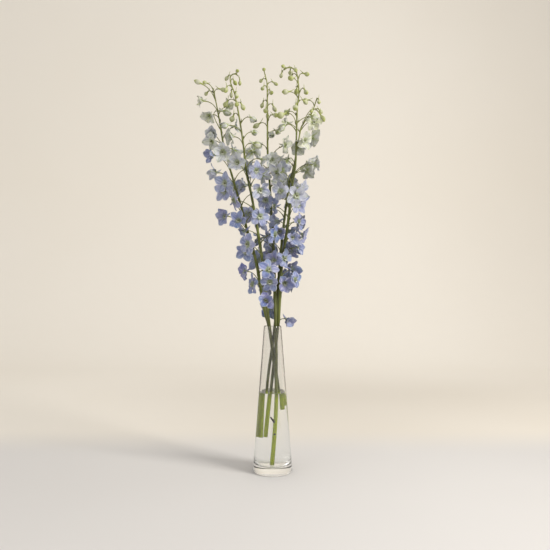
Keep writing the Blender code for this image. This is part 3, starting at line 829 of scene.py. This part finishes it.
SEPALS = 5
SEPAL_LENGTH = 17.5
SEPAL_WAIST = 14.0
SEPAL_HALF_ANGLE = math.radians(31.0)
SEPAL_WAVE = 1.6
TIP_TURN = 0.1
TIP_HEIGHTS = (-2.0, 1.5)
CUP_DEPTH = 5.0
WAIST_SHARE = 0.7
CLOSED_REACH = 0.62
SEPAL_THICKNESS = 0.3
SEPAL_CLAW = 0.24
SEPAL_ROOT_RADIUS = 1.3
SEPAL_LENGTHS = (1.05, 1.26)
SEPAL_WIDTHS = (1.0, 1.24)
SEPAL_TILTS = (-0.36, 0.36)
SEPAL_TURN = 0.16
SEPAL_SPOON = 1.0
SEPAL_RUFFLE = 1.7
RUFFLE_WAVES = (1.2, 2.3)
RUFFLE_HEIGHTS = (0.6, 1.4)
SEPAL_CURLS = (-4.0, 3.6)
SEPAL_FOLDS = (-0.8, 1.6)
SEPAL_TWISTS = (-1.8, 2.4)
SEPAL_GROOVE = 0.4
FLOWER_CUPS = (-0.2, 0.42)
FRONT_CUPS = (-0.26, 0.0)
FRONT_REACH = -36.0
WAIST_PLACE = 0.6
SPUR_RADIUS = 2.1
BLUER = {"left": 0.08, "front": -0.02, "centre": 0.05, "right": -0.03, "back": -0.03}
OPEN_AGE = 0.18
OLDEST_HEIGHT = 330.0
AGEING_HEIGHT = 440.0
AGE_PLAY = 0.09
HUE_PLAY = 0.2
LIGHT_PLAY = 0.3

sepal_sheet = grid(long_steps=8, wide_steps=6)
spur_rod = rod(sides=7, steps=6)


def sepal_angle(index):
    return math.pi / 2 + math.tau * index / SEPALS


def out_and_side(angle):
    """The directions outwards and sideways at an angle round a flower's axis."""
    return (Vector((math.cos(angle), math.sin(angle), 0)),
            Vector((-math.sin(angle), math.cos(angle), 0)))


def sepal_corners(index, size, openness, rng):
    """Left, tip and right corners of one sepal's middle surface, cupped towards +Z."""
    reach = size * (CLOSED_REACH + (1 - CLOSED_REACH) * openness)
    lift = CUP_DEPTH * size * (2 - openness)

    def at(turn, radius, height):
        angle = sepal_angle(index) + turn
        return Vector((radius * math.cos(angle), radius * math.sin(angle), height))

    wave = rng.uniform(-SEPAL_WAVE, SEPAL_WAVE)
    tip_turn = rng.uniform(-TIP_TURN, TIP_TURN)
    tip_height = lift + rng.uniform(*TIP_HEIGHTS)
    return [at(-SEPAL_HALF_ANGLE, SEPAL_WAIST * reach, lift * WAIST_SHARE + wave),
            at(tip_turn, SEPAL_LENGTH * reach, tip_height),
            at(SEPAL_HALF_ANGLE, SEPAL_WAIST * reach, lift * WAIST_SHARE - wave)]


def half_width(t):
    """A sepal's half width along it, 1 at its waist, drawn to a point at its tip."""
    if t < WAIST_PLACE:
        return SEPAL_CLAW + (1 - SEPAL_CLAW) * math.sin(math.pi / 2 * t / WAIST_PLACE)**0.85
    rest = (t - WAIST_PLACE) / (1 - WAIST_PLACE)
    return 0.03 + 0.97 * (1 - rest**1.8)**0.8


def sepal_mesh(root, left, tip, right, size, tone, rng, spoon, ruffle):
    """A waved sepal through its corners: broad at the waist, with a small point at the tip."""
    waist = (left + right) / 2
    across = (right - left) / 2
    bend = waist - root * (1 - WAIST_PLACE)**2 - tip * WAIST_PLACE**2
    bend = bend / (2 * WAIST_PLACE * (1 - WAIST_PLACE))
    phases = (rng.uniform(0, math.tau), rng.uniform(0, math.tau))
    waves = rng.uniform(*RUFFLE_WAVES)
    height = ruffle * size * rng.uniform(*RUFFLE_HEIGHTS)
    curl = rng.uniform(*SEPAL_CURLS) * size
    fold = rng.uniform(*SEPAL_FOLDS) * size
    twist = rng.uniform(*SEPAL_TWISTS) * size

    def place(t, s):
        t = 1 - (1 - t)**1.2
        middle = arch(root, bend, tip, t)
        slope = (bend - root) * (1 - t) + (tip - bend) * t
        front = slope.cross(across).normalized()
        swell = math.sin(math.pi * min(t, 1.0))
        wave = math.sin(math.tau * waves * t + phases[s > 0])
        rise = (spoon * size + fold) * s * s * swell
        rise += height * wave * abs(s)**1.5 * math.sin(math.pi * min(t * 0.8 + 0.1, 1.0))
        rise += twist * s * math.sin(math.pi * min(t * 1.2, 1.0))
        rise += -SEPAL_GROOVE * size * max(0.0, 1 - abs(s) * 3) * (1 - t)
        rise += curl * t**4
        return middle + across * half_width(t) * s + front * rise

    return shaped(sepal_sheet, place, tone, SEPAL_THICKNESS)


def spur_mesh(item, tone):
    """The hollow spur behind the uppermost sepal, bent up a little at its end."""
    tip = spur_tip(item)
    size = item["size"]
    start = Vector((0, 0.6 * size, 0.4))
    bend = tip * 0.5 + Vector((0, -1.6, 0.2)) * size

    def width(t, angle):
        return size * (SPUR_RADIUS * (1 - t)**0.8 + 0.55 * min(1.0, (1 - t) * 8))

    return bent(spur_rod, lambda t: arch(start, bend, tip, t), width, lambda t: (*tone[:3], 1.0),
                Vector((1, 0, 0)))


def bloom_tone(item):
    """What the material reads of a flower: its age by height, its hue and its lightness."""
    rng = random.Random(item["seed"] + 1)
    height = item["point"].z + item["stalk"] * 0.5
    age = 1.0 - (height - OLDEST_HEIGHT) / AGEING_HEIGHT + BLUER[item["spike"]]
    age += rng.uniform(-AGE_PLAY, AGE_PLAY)
    youngest = OPEN_AGE if item["kind"] == "open" else 0.0
    return (min(max(age, youngest), 1.0), rng.random(), rng.random(), 0.0)


def shaded(tone, rng):
    """A flower's tone, a little lighter or darker for one of its sepals."""
    light = min(max(tone[2] + rng.uniform(-LIGHT_PLAY, LIGHT_PLAY), 0.0), 1.0)
    hue = min(max(tone[1] + rng.uniform(-HUE_PLAY, HUE_PLAY), 0.0), 1.0)
    return (tone[0], hue, light, 0.0)


def open_flower(item):
    corners_rng = random.Random(item["seed"])
    rng = random.Random(item["seed"] + 2)
    tone = bloom_tone(item)
    size = item["size"]
    whole = bmesh.new()
    in_front = stalk_point(item, 1.0).y < FRONT_REACH
    cup = rng.uniform(*(FRONT_CUPS if in_front else FLOWER_CUPS))
    for k in range(SEPALS):
        left, tip, right = sepal_corners(k, size, item["openness"], corners_rng)
        out, side = out_and_side(sepal_angle(k))
        root = out * SEPAL_ROOT_RADIUS * size
        tilt = Matrix.Rotation(-cup - rng.uniform(*SEPAL_TILTS), 3, side)
        turn = Matrix.Rotation(rng.uniform(-SEPAL_TURN, SEPAL_TURN), 3, "Z")
        longer = rng.uniform(*SEPAL_LENGTHS)
        wider = rng.uniform(*SEPAL_WIDTHS)
        waist = (left + right) / 2
        corners = [waist + (left - waist) * wider, tip * longer, waist + (right - waist) * wider]
        left, tip, right = [turn @ tilt @ corner for corner in corners]
        add(whole, sepal_mesh(root, left, tip, right, size, shaded(tone, rng), rng, SEPAL_SPOON,
                              SEPAL_RUFFLE))
    add(whole, spur_mesh(item, tone))
    return placed(whole, item)


SEPAL_YOUNG = linear(212, 216, 158)
SEPAL_CREAM = linear(228, 229, 200)
SEPAL_PALE = linear(216, 220, 210)
SEPAL_LAVENDER = linear(152, 159, 199)
SEPAL_BLUE = linear(122, 138, 192)
SEPAL_DEEP = linear(96, 115, 180)
SEPAL_VIOLET = linear(136, 132, 186)
SEPAL_SKY = linear(108, 146, 196)
SEPAL_EYE = linear(164, 180, 86)
SEPAL_GREEN = linear(150, 166, 76)
# Sepal colours for painted light: a pale one for painted highlights, also used for paler sepals, and
# a dull blue for painted shade in the creases
SEPAL_PALE_AND_HIGHLIGHT = linear(216, 218, 230)
SEPAL_CREASE_SHADE = linear(196, 200, 216)
SEPAL_GLOW = linear(236, 234, 230)
GLOW_SHARE = 0.22

bloom = Finish("sepals", Roughness=0.5, IOR=1.35)
age, hue, light, back = bloom.tones()
along, across, _ = bloom.parts(bloom.place("UV"))
middle = 1 - (across - 0.5).size() * 2.0
cloud = bloom.noise(scale=90.0, detail=3.0)
spread = {0: along * 1.6 + light * 9.0, 1: across * 7.0 + hue * 13.0, 2: age * 20.0}
creases = bloom.noise(scale=1.0, detail=2.5, where=bloom.node("ShaderNodeCombineXYZ", {}, spread))
drift = bloom.noise(scale=55.0, detail=1.0)
stops = [(0.0, SEPAL_YOUNG), (0.2, SEPAL_CREAM), (0.34, SEPAL_PALE), (0.46, SEPAL_LAVENDER),
         (0.74, SEPAL_BLUE), (1.0, SEPAL_DEEP)]
base = bloom.node("ShaderNodeValToRGB", {"stops": stops}, {"Fac": age + (cloud - 0.5) * 0.25})
bluer = age.between(0.3, 0.7)
tinted = bloom.mix(hue.between(0.45, 1.0) * bluer * 0.7, base, SEPAL_VIOLET)
tinted = bloom.mix(drift.between(0.45, 0.65) * bluer * along * 0.8, tinted, SEPAL_SKY)
# Some sepals a little paler, at random
tinted = bloom.mix(light * 0.34, tinted, SEPAL_PALE_AND_HIGHLIGHT)
# Painted shade in the creases of each sepal, then painted highlight on the ridges between them
tinted = bloom.mix(creases.between(0.5, 0.66) * 0.85, tinted, SEPAL_CREASE_SHADE, blend="MULTIPLY")
tinted = bloom.mix((1 - creases.between(0.34, 0.48)) * 0.5, tinted, SEPAL_PALE_AND_HIGHLIGHT)
# Painted highlight along the edges of each sepal
tinted = bloom.mix((1 - middle.between(0.0, 0.3)) * 0.6, tinted, SEPAL_PALE_AND_HIGHLIGHT)
eye = (1 - along.between(0.05, 0.34)) * (1 - back) * 0.8
tinted = bloom.mix(eye, tinted, SEPAL_EYE)
young = 1 - age.between(0.1, 0.75)
spot = along.between(0.72, 0.95) * middle.between(0.35, 0.9)
foot = (1 - along.between(0.1, 0.42)) * middle.between(0.1, 0.7)
rib = middle.between(0.6, 1.0) * (1 - along.between(0.5, 0.9)) * young
tinted = bloom.mix(rib * (0.2 + back * 0.5), tinted, SEPAL_GREEN)
tinted = bloom.mix(spot * (0.5 + back * 0.5) * (young + 0.5), tinted, SEPAL_GREEN)
tinted = bloom.mix(foot * back * (0.7 + young * 0.3), tinted, SEPAL_GREEN)
bloom.put("Base Color", tinted)
veins = (across * 70.0 + cloud * 5.0).sine()
bloom.bump(creases * 3.0 + veins * 0.12, strength=0.5, distance=0.0006)
glow = bloom.node("ShaderNodeBsdfTranslucent", {}, {"Color": SEPAL_GLOW})
front = Value(bloom, bloom.shader.outputs[0])
both = bloom.node("ShaderNodeMixShader", {}, {0: GLOW_SHARE, 1: front, 2: glow})
bloom.join(bloom.output.inputs["Surface"], both)


# Half-open flowers
# Just below the buds, the sepals still stand together as a cup. They are whitish with green tips.

CUP_LENGTH = 14.5
CUP_RADIUS = 8.2
CUP_ROOT_RADIUS = 1.2
CUP_WAIST_RADIUS = 0.86
CUP_WAIST_HEIGHT = 0.55
CUP_HALF_WIDTH = 6.0
CUP_MOUTHS = (0.05, 0.4)
CUP_LENGTHS = (1.02, 1.18)
CUP_TURN = 0.06
CUP_SPOON = 3.2
CUP_RUFFLE = 0.35


def half_open_flower(item):
    rng = random.Random(item["seed"] + 2)
    tone = bloom_tone(item)
    size = item["size"]
    whole = bmesh.new()
    for k in range(SEPALS):
        out, side = out_and_side(sepal_angle(k + rng.uniform(-CUP_TURN, CUP_TURN)))
        root = out * CUP_ROOT_RADIUS * size + Vector((0, 0, 0.3))
        waist = out * CUP_RADIUS * CUP_WAIST_RADIUS * size
        waist += Vector((0, 0, CUP_WAIST_HEIGHT * CUP_LENGTH * size))
        reach = rng.uniform(*CUP_MOUTHS)
        length = CUP_LENGTH * rng.uniform(*CUP_LENGTHS) * size
        tip = out * CUP_RADIUS * reach * size + Vector((0, 0, length))
        half = side * CUP_HALF_WIDTH * size
        add(whole, sepal_mesh(root, waist - half, tip, waist + half, size, shaded(tone, rng), rng,
                              CUP_SPOON, CUP_RUFFLE))
    add(whole, spur_mesh(item, tone))
    return placed(whole, item)


# Eyes
# The bee in the middle of an open flower: four small whitish petals with a yellow-green foot, and a
# tuft of stamens with olive heads.

BEE_LENGTH = 4.6
BEE_WIDTH = 1.5
BEE_THICKNESS = 0.25
BEE_ANGLES = (55, 125, 235, 305)
BEE_TURN = 8
UPPER_LEANS = (0.2, 0.4)
LOWER_LEANS = (0.45, 0.8)
STAMENS = 7
STAMEN_LENGTH = 4.2
STAMEN_LENGTHS = (0.8, 1.1)
STAMEN_SPREADS = (0.1, 0.45)
STAMEN_RADIUS = 0.16
ANTHER_SWELL = 0.42
ANTHER_START = 0.6

bee_sheet = grid(long_steps=3, wide_steps=2)
stamen_rod = rod(sides=3, steps=3)


def eye_mesh(item):
    rng = random.Random(item["seed"] + 5)
    tone = bloom_tone(item)
    size = item["size"]
    whole = bmesh.new()
    for angle in BEE_ANGLES:
        out, side = out_and_side(math.radians(angle + rng.uniform(-BEE_TURN, BEE_TURN)))
        lean = rng.uniform(*(LOWER_LEANS if angle > 180 else UPPER_LEANS))

        def place(t, s):
            half = BEE_WIDTH * size * (0.35 + 0.9 * math.sin(math.pi * min(t * 0.8, 1.0)))
            reach = BEE_LENGTH * size
            rise = Vector((0, 0, 0.8 + reach * (t - 0.35 * lean * t**2)))
            return out * (0.9 * size + reach * lean * t**2) + rise + side * half * s

        add(whole, shaped(bee_sheet, place, (0.0, tone[0], tone[2], 0.0), BEE_THICKNESS))
    for _ in range(STAMENS):
        turn = rng.uniform(0, math.tau)
        spread = rng.uniform(*STAMEN_SPREADS)
        end = Vector((math.cos(turn) * spread, math.sin(turn) * spread, 1)).normalized()
        end *= STAMEN_LENGTH * size * rng.uniform(*STAMEN_LENGTHS)
        start = out_and_side(turn)[0] * 0.5
        add(whole, bent(stamen_rod, lambda t: start.lerp(end, t),
                        lambda t, angle: STAMEN_RADIUS + ANTHER_SWELL * (t > ANTHER_START),
                        lambda t: (t, tone[0], 0, 0)))
    return placed(whole, item)


BEE_WHITE = linear(196, 197, 200)
BEE_YELLOW = linear(164, 176, 80)
ANTHER = linear(104, 108, 48)

eye_finish = Finish("flower eyes", Roughness=0.6)
fleck = eye_finish.tones()[0]
along = eye_finish.parts(eye_finish.place("UV"))[0]
grain = eye_finish.noise(scale=900.0)
petal = eye_finish.mix(grain.between(0.35, 0.7) * 0.5 + (1 - along) * 0.5, BEE_WHITE, BEE_YELLOW)
eye_finish.put("Base Color", eye_finish.mix(fleck.between(0.5, 0.9), petal, ANTHER))
eye_finish.bump(grain, strength=0.3, distance=0.0003)


# Buds
# Closed buds near the tips: plump, with five furrows where the sepals meet and the spur bent up
# behind. They are yellow-green in patches, and the older ones are whitish round the middle.

BUD_LENGTH = 10.0
BUD_RADIUS = 3.7
BUD_LENGTHS = (1.2, 1.0)
BUD_RADII = (0.96, 1.18)
BUD_RINGS = 10
BUD_SPUR_RINGS = 4
BUD_NECK = 0.12
FURROW_DEPTH = 0.08

bud_rod = rod(sides=10, steps=BUD_RINGS)


def bud_mesh(item):
    size = item["size"]
    rng = random.Random(item["seed"] + 6)
    plump = rng.uniform(0.0, 1.0)
    length = BUD_LENGTH * size * part_way(BUD_LENGTHS, plump)
    radius = BUD_RADIUS * size * part_way(BUD_RADII, plump)
    tip = spur_tip(item)
    front = Vector((0, 0, length))
    neck = Vector((0, 0, BUD_NECK * length))
    bend = tip * 0.45 + Vector((0, -0.1, 0.05)) * length

    def path(t):
        ring = t * BUD_RINGS
        if ring < BUD_SPUR_RINGS:
            return arch(tip, bend, neck, ring / BUD_SPUR_RINGS)
        return neck.lerp(front, (ring - BUD_SPUR_RINGS) / (BUD_RINGS - BUD_SPUR_RINGS))

    def width(t, angle):
        ring = round(t * BUD_RINGS)
        if ring <= BUD_SPUR_RINGS:
            u = ring / BUD_SPUR_RINGS
            return radius * (0.11 + 0.235 * u**5) * min(1.0, 0.3 + u * 6)
        u = (ring - BUD_SPUR_RINGS) / (BUD_RINGS - BUD_SPUR_RINGS)
        furrow = 1 - FURROW_DEPTH * (math.cos(SEPALS * angle) > 0)
        return radius * furrow * math.sin(math.pi * (0.07 + 0.915 * u))**0.7

    tone = bloom_tone(item)
    bud = bent(bud_rod, path, width, lambda t: (*tone[:3], t), Vector((1, 0, 0)))
    return placed(bud, item)


BUD_GREEN = linear(142, 150, 74)
BUD_PALE = linear(182, 188, 124)
BUD_WHITE = linear(208, 206, 196)

bud_finish = Finish("buds", Roughness=0.5, Sheen_Weight=0.2, Sheen_Roughness=0.4)
age, _, light, reach = bud_finish.tones()
patches = bud_finish.noise(scale=160.0, detail=3.0)
colour = bud_finish.mix(patches.between(0.35, 0.7) * 0.6, BUD_GREEN, BUD_PALE)
side = reach.between(0.36, 0.55) * (1 - reach.between(0.7, 0.92))
older = age.between(0.08, 0.3)
colour = bud_finish.mix(side * (light * 0.5 + older * 0.5), colour, BUD_WHITE)
bud_finish.put("Base Color", colour)
bud_finish.bump(patches, strength=0.3, distance=0.0004)


# The five spikes
# Each spike is put together as it grew: the stem with its stalks and bracts, then the flowers, their
# eyes, and the buds at the tip.

for name, items in flowers.items():
    green = stem_mesh(name, items)
    if name == "centre":
        for stub in STUBS:
            add(green, stub_mesh(*stub))
    petals = bmesh.new()
    eyes = bmesh.new()
    buds = bmesh.new()
    for item in items:
        add(green, stalk_mesh(item))
        for leaf in bracts(item):
            add(green, leaf)
        if item["kind"] == "open":
            add(petals, open_flower(item))
            add(eyes, eye_mesh(item))
        elif item["kind"] == "half":
            add(petals, half_open_flower(item))
        else:
            add(buds, bud_mesh(item))
    parts = {"stem": (green, greenery), "florets": (petals, bloom),
             "eyes": (eyes, eye_finish), "buds": (buds, bud_finish)}
    for part, (mesh, finish) in parts.items():
        new_piece(name + "_" + part, mesh, finish, ["spike_" + name])


# Room
# A plain pale floor that runs up into a warm cream wall, both painted darker on the right: painted
# shade that evens out the strong light there. A large soft light stands there and a weaker one on the
# left.
# Lights and camera are placed in metres.

WALL_COLOUR = linear(239, 234, 224)
FLOOR_COLOUR = linear(207, 205, 203)
WALL_PAINTED_SHADE = linear(205, 198, 186)
FLOOR_PAINTED_SHADE = linear(158, 156, 154)
WALL_WIDTH = 9000.0
WALL_DISTANCE = 2200.0
WALL_HEIGHT = 4000.0
SWEEP_RADIUS = 900.0
SWEEP_STEPS = 24
FLOOR_FRONT = -3500.0
ROOM_LIGHT = (1.0, 0.97, 0.94, 1.0)
ROOM_LIGHT_STRENGTH = 0.7
LIT_PLACE = (0, 0, 0.45)
CAMERA_PLACE = (0.0048, -1.221, 0.3916)
CAMERA_LENS = 39.9
LIGHT_BOUNCES = 24
GLOSSY_BOUNCES = 12


def sweep_profile():
    points = [(FLOOR_FRONT, 0.0)]
    for i in range(SWEEP_STEPS + 1):
        angle = math.pi / 2 * i / SWEEP_STEPS
        points.append((WALL_DISTANCE - SWEEP_RADIUS + SWEEP_RADIUS * math.sin(angle),
                       SWEEP_RADIUS * (1 - math.cos(angle))))
    return points + [(WALL_DISTANCE, WALL_HEIGHT)]


def swept_wall():
    bm = bmesh.new()
    line = [bm.verts.new((-WALL_WIDTH / 2, y, z)) for y, z in sweep_profile()]
    edges = [bm.edges.new(pair) for pair in zip(line, line[1:])]
    far = bmesh.ops.extrude_edge_only(bm, edges=edges)["geom"]
    bmesh.ops.translate(bm, vec=(WALL_WIDTH, 0, 0),
                        verts=[v for v in far if isinstance(v, bmesh.types.BMVert)])
    bmesh.ops.recalc_face_normals(bm, faces=bm.faces)
    return bm


wall = Finish("pale wall", Roughness=0.9)
across, away, _ = wall.parts(wall.place())
# Painted shade on the wall and floor, darker to the right and where the window light falls most
painted_shade_where_lit = across.between(-0.9, 0.3) * (1 - away.between(0.7, 1.4))
upright = wall.mix(painted_shade_where_lit * 0.7, WALL_COLOUR, WALL_PAINTED_SHADE)
upright = wall.mix(across.between(0.3, 1.7) * 0.4, upright, WALL_PAINTED_SHADE)
level = wall.mix(across.between(0.2, 1.4) * 0.8, FLOOR_COLOUR, FLOOR_PAINTED_SHADE)
plain = wall.mix(away.between(0.1, 0.34), level, upright)
wall.put("Base Color", wall.mix(wall.noise(scale=2.0) * 0.12, plain, (1, 1, 1, 1)))
backdrop = smooth_object("backdrop", swept_wall(), wall)

world = bpy.data.worlds.new("room light")
world.use_nodes = True
background = world.node_tree.nodes["Background"].inputs
background["Color"].default_value = ROOM_LIGHT
background["Strength"].default_value = ROOM_LIGHT_STRENGTH
bpy.context.scene.world = world


def soft_light(name, place, size, power, colour):
    light = bpy.data.lights.new(name, "AREA")
    light.size = size
    light.energy = power
    light.color = colour
    lamp = in_scene(name, light)
    lamp.location = place
    aim = Vector(LIT_PLACE) - Vector(place)
    lamp.rotation_euler = aim.to_track_quat("-Z", "Y").to_euler()


soft_light("window", place=(1.7, -1.0, 1.5), size=0.8, power=45.0, colour=(1.0, 0.965, 0.915))
soft_light("fill", place=(-1.8, -1.6, 0.9), size=1.6, power=6.0, colour=(1.0, 0.98, 0.95))

camera_data = bpy.data.cameras.new("camera")
camera_data.lens = CAMERA_LENS
camera_data.sensor_width = 36.0
camera = in_scene("camera", camera_data)
camera.location = CAMERA_PLACE
camera.rotation_euler = (math.pi / 2, 0, 0)
bpy.context.scene.camera = camera
bpy.context.scene.view_settings.view_transform = "Standard"

# Light meets the glass and the water many times on its way through the vase
bpy.context.scene.cycles.max_bounces = LIGHT_BOUNCES
bpy.context.scene.cycles.transmission_bounces = LIGHT_BOUNCES
bpy.context.scene.cycles.glossy_bounces = GLOSSY_BOUNCES
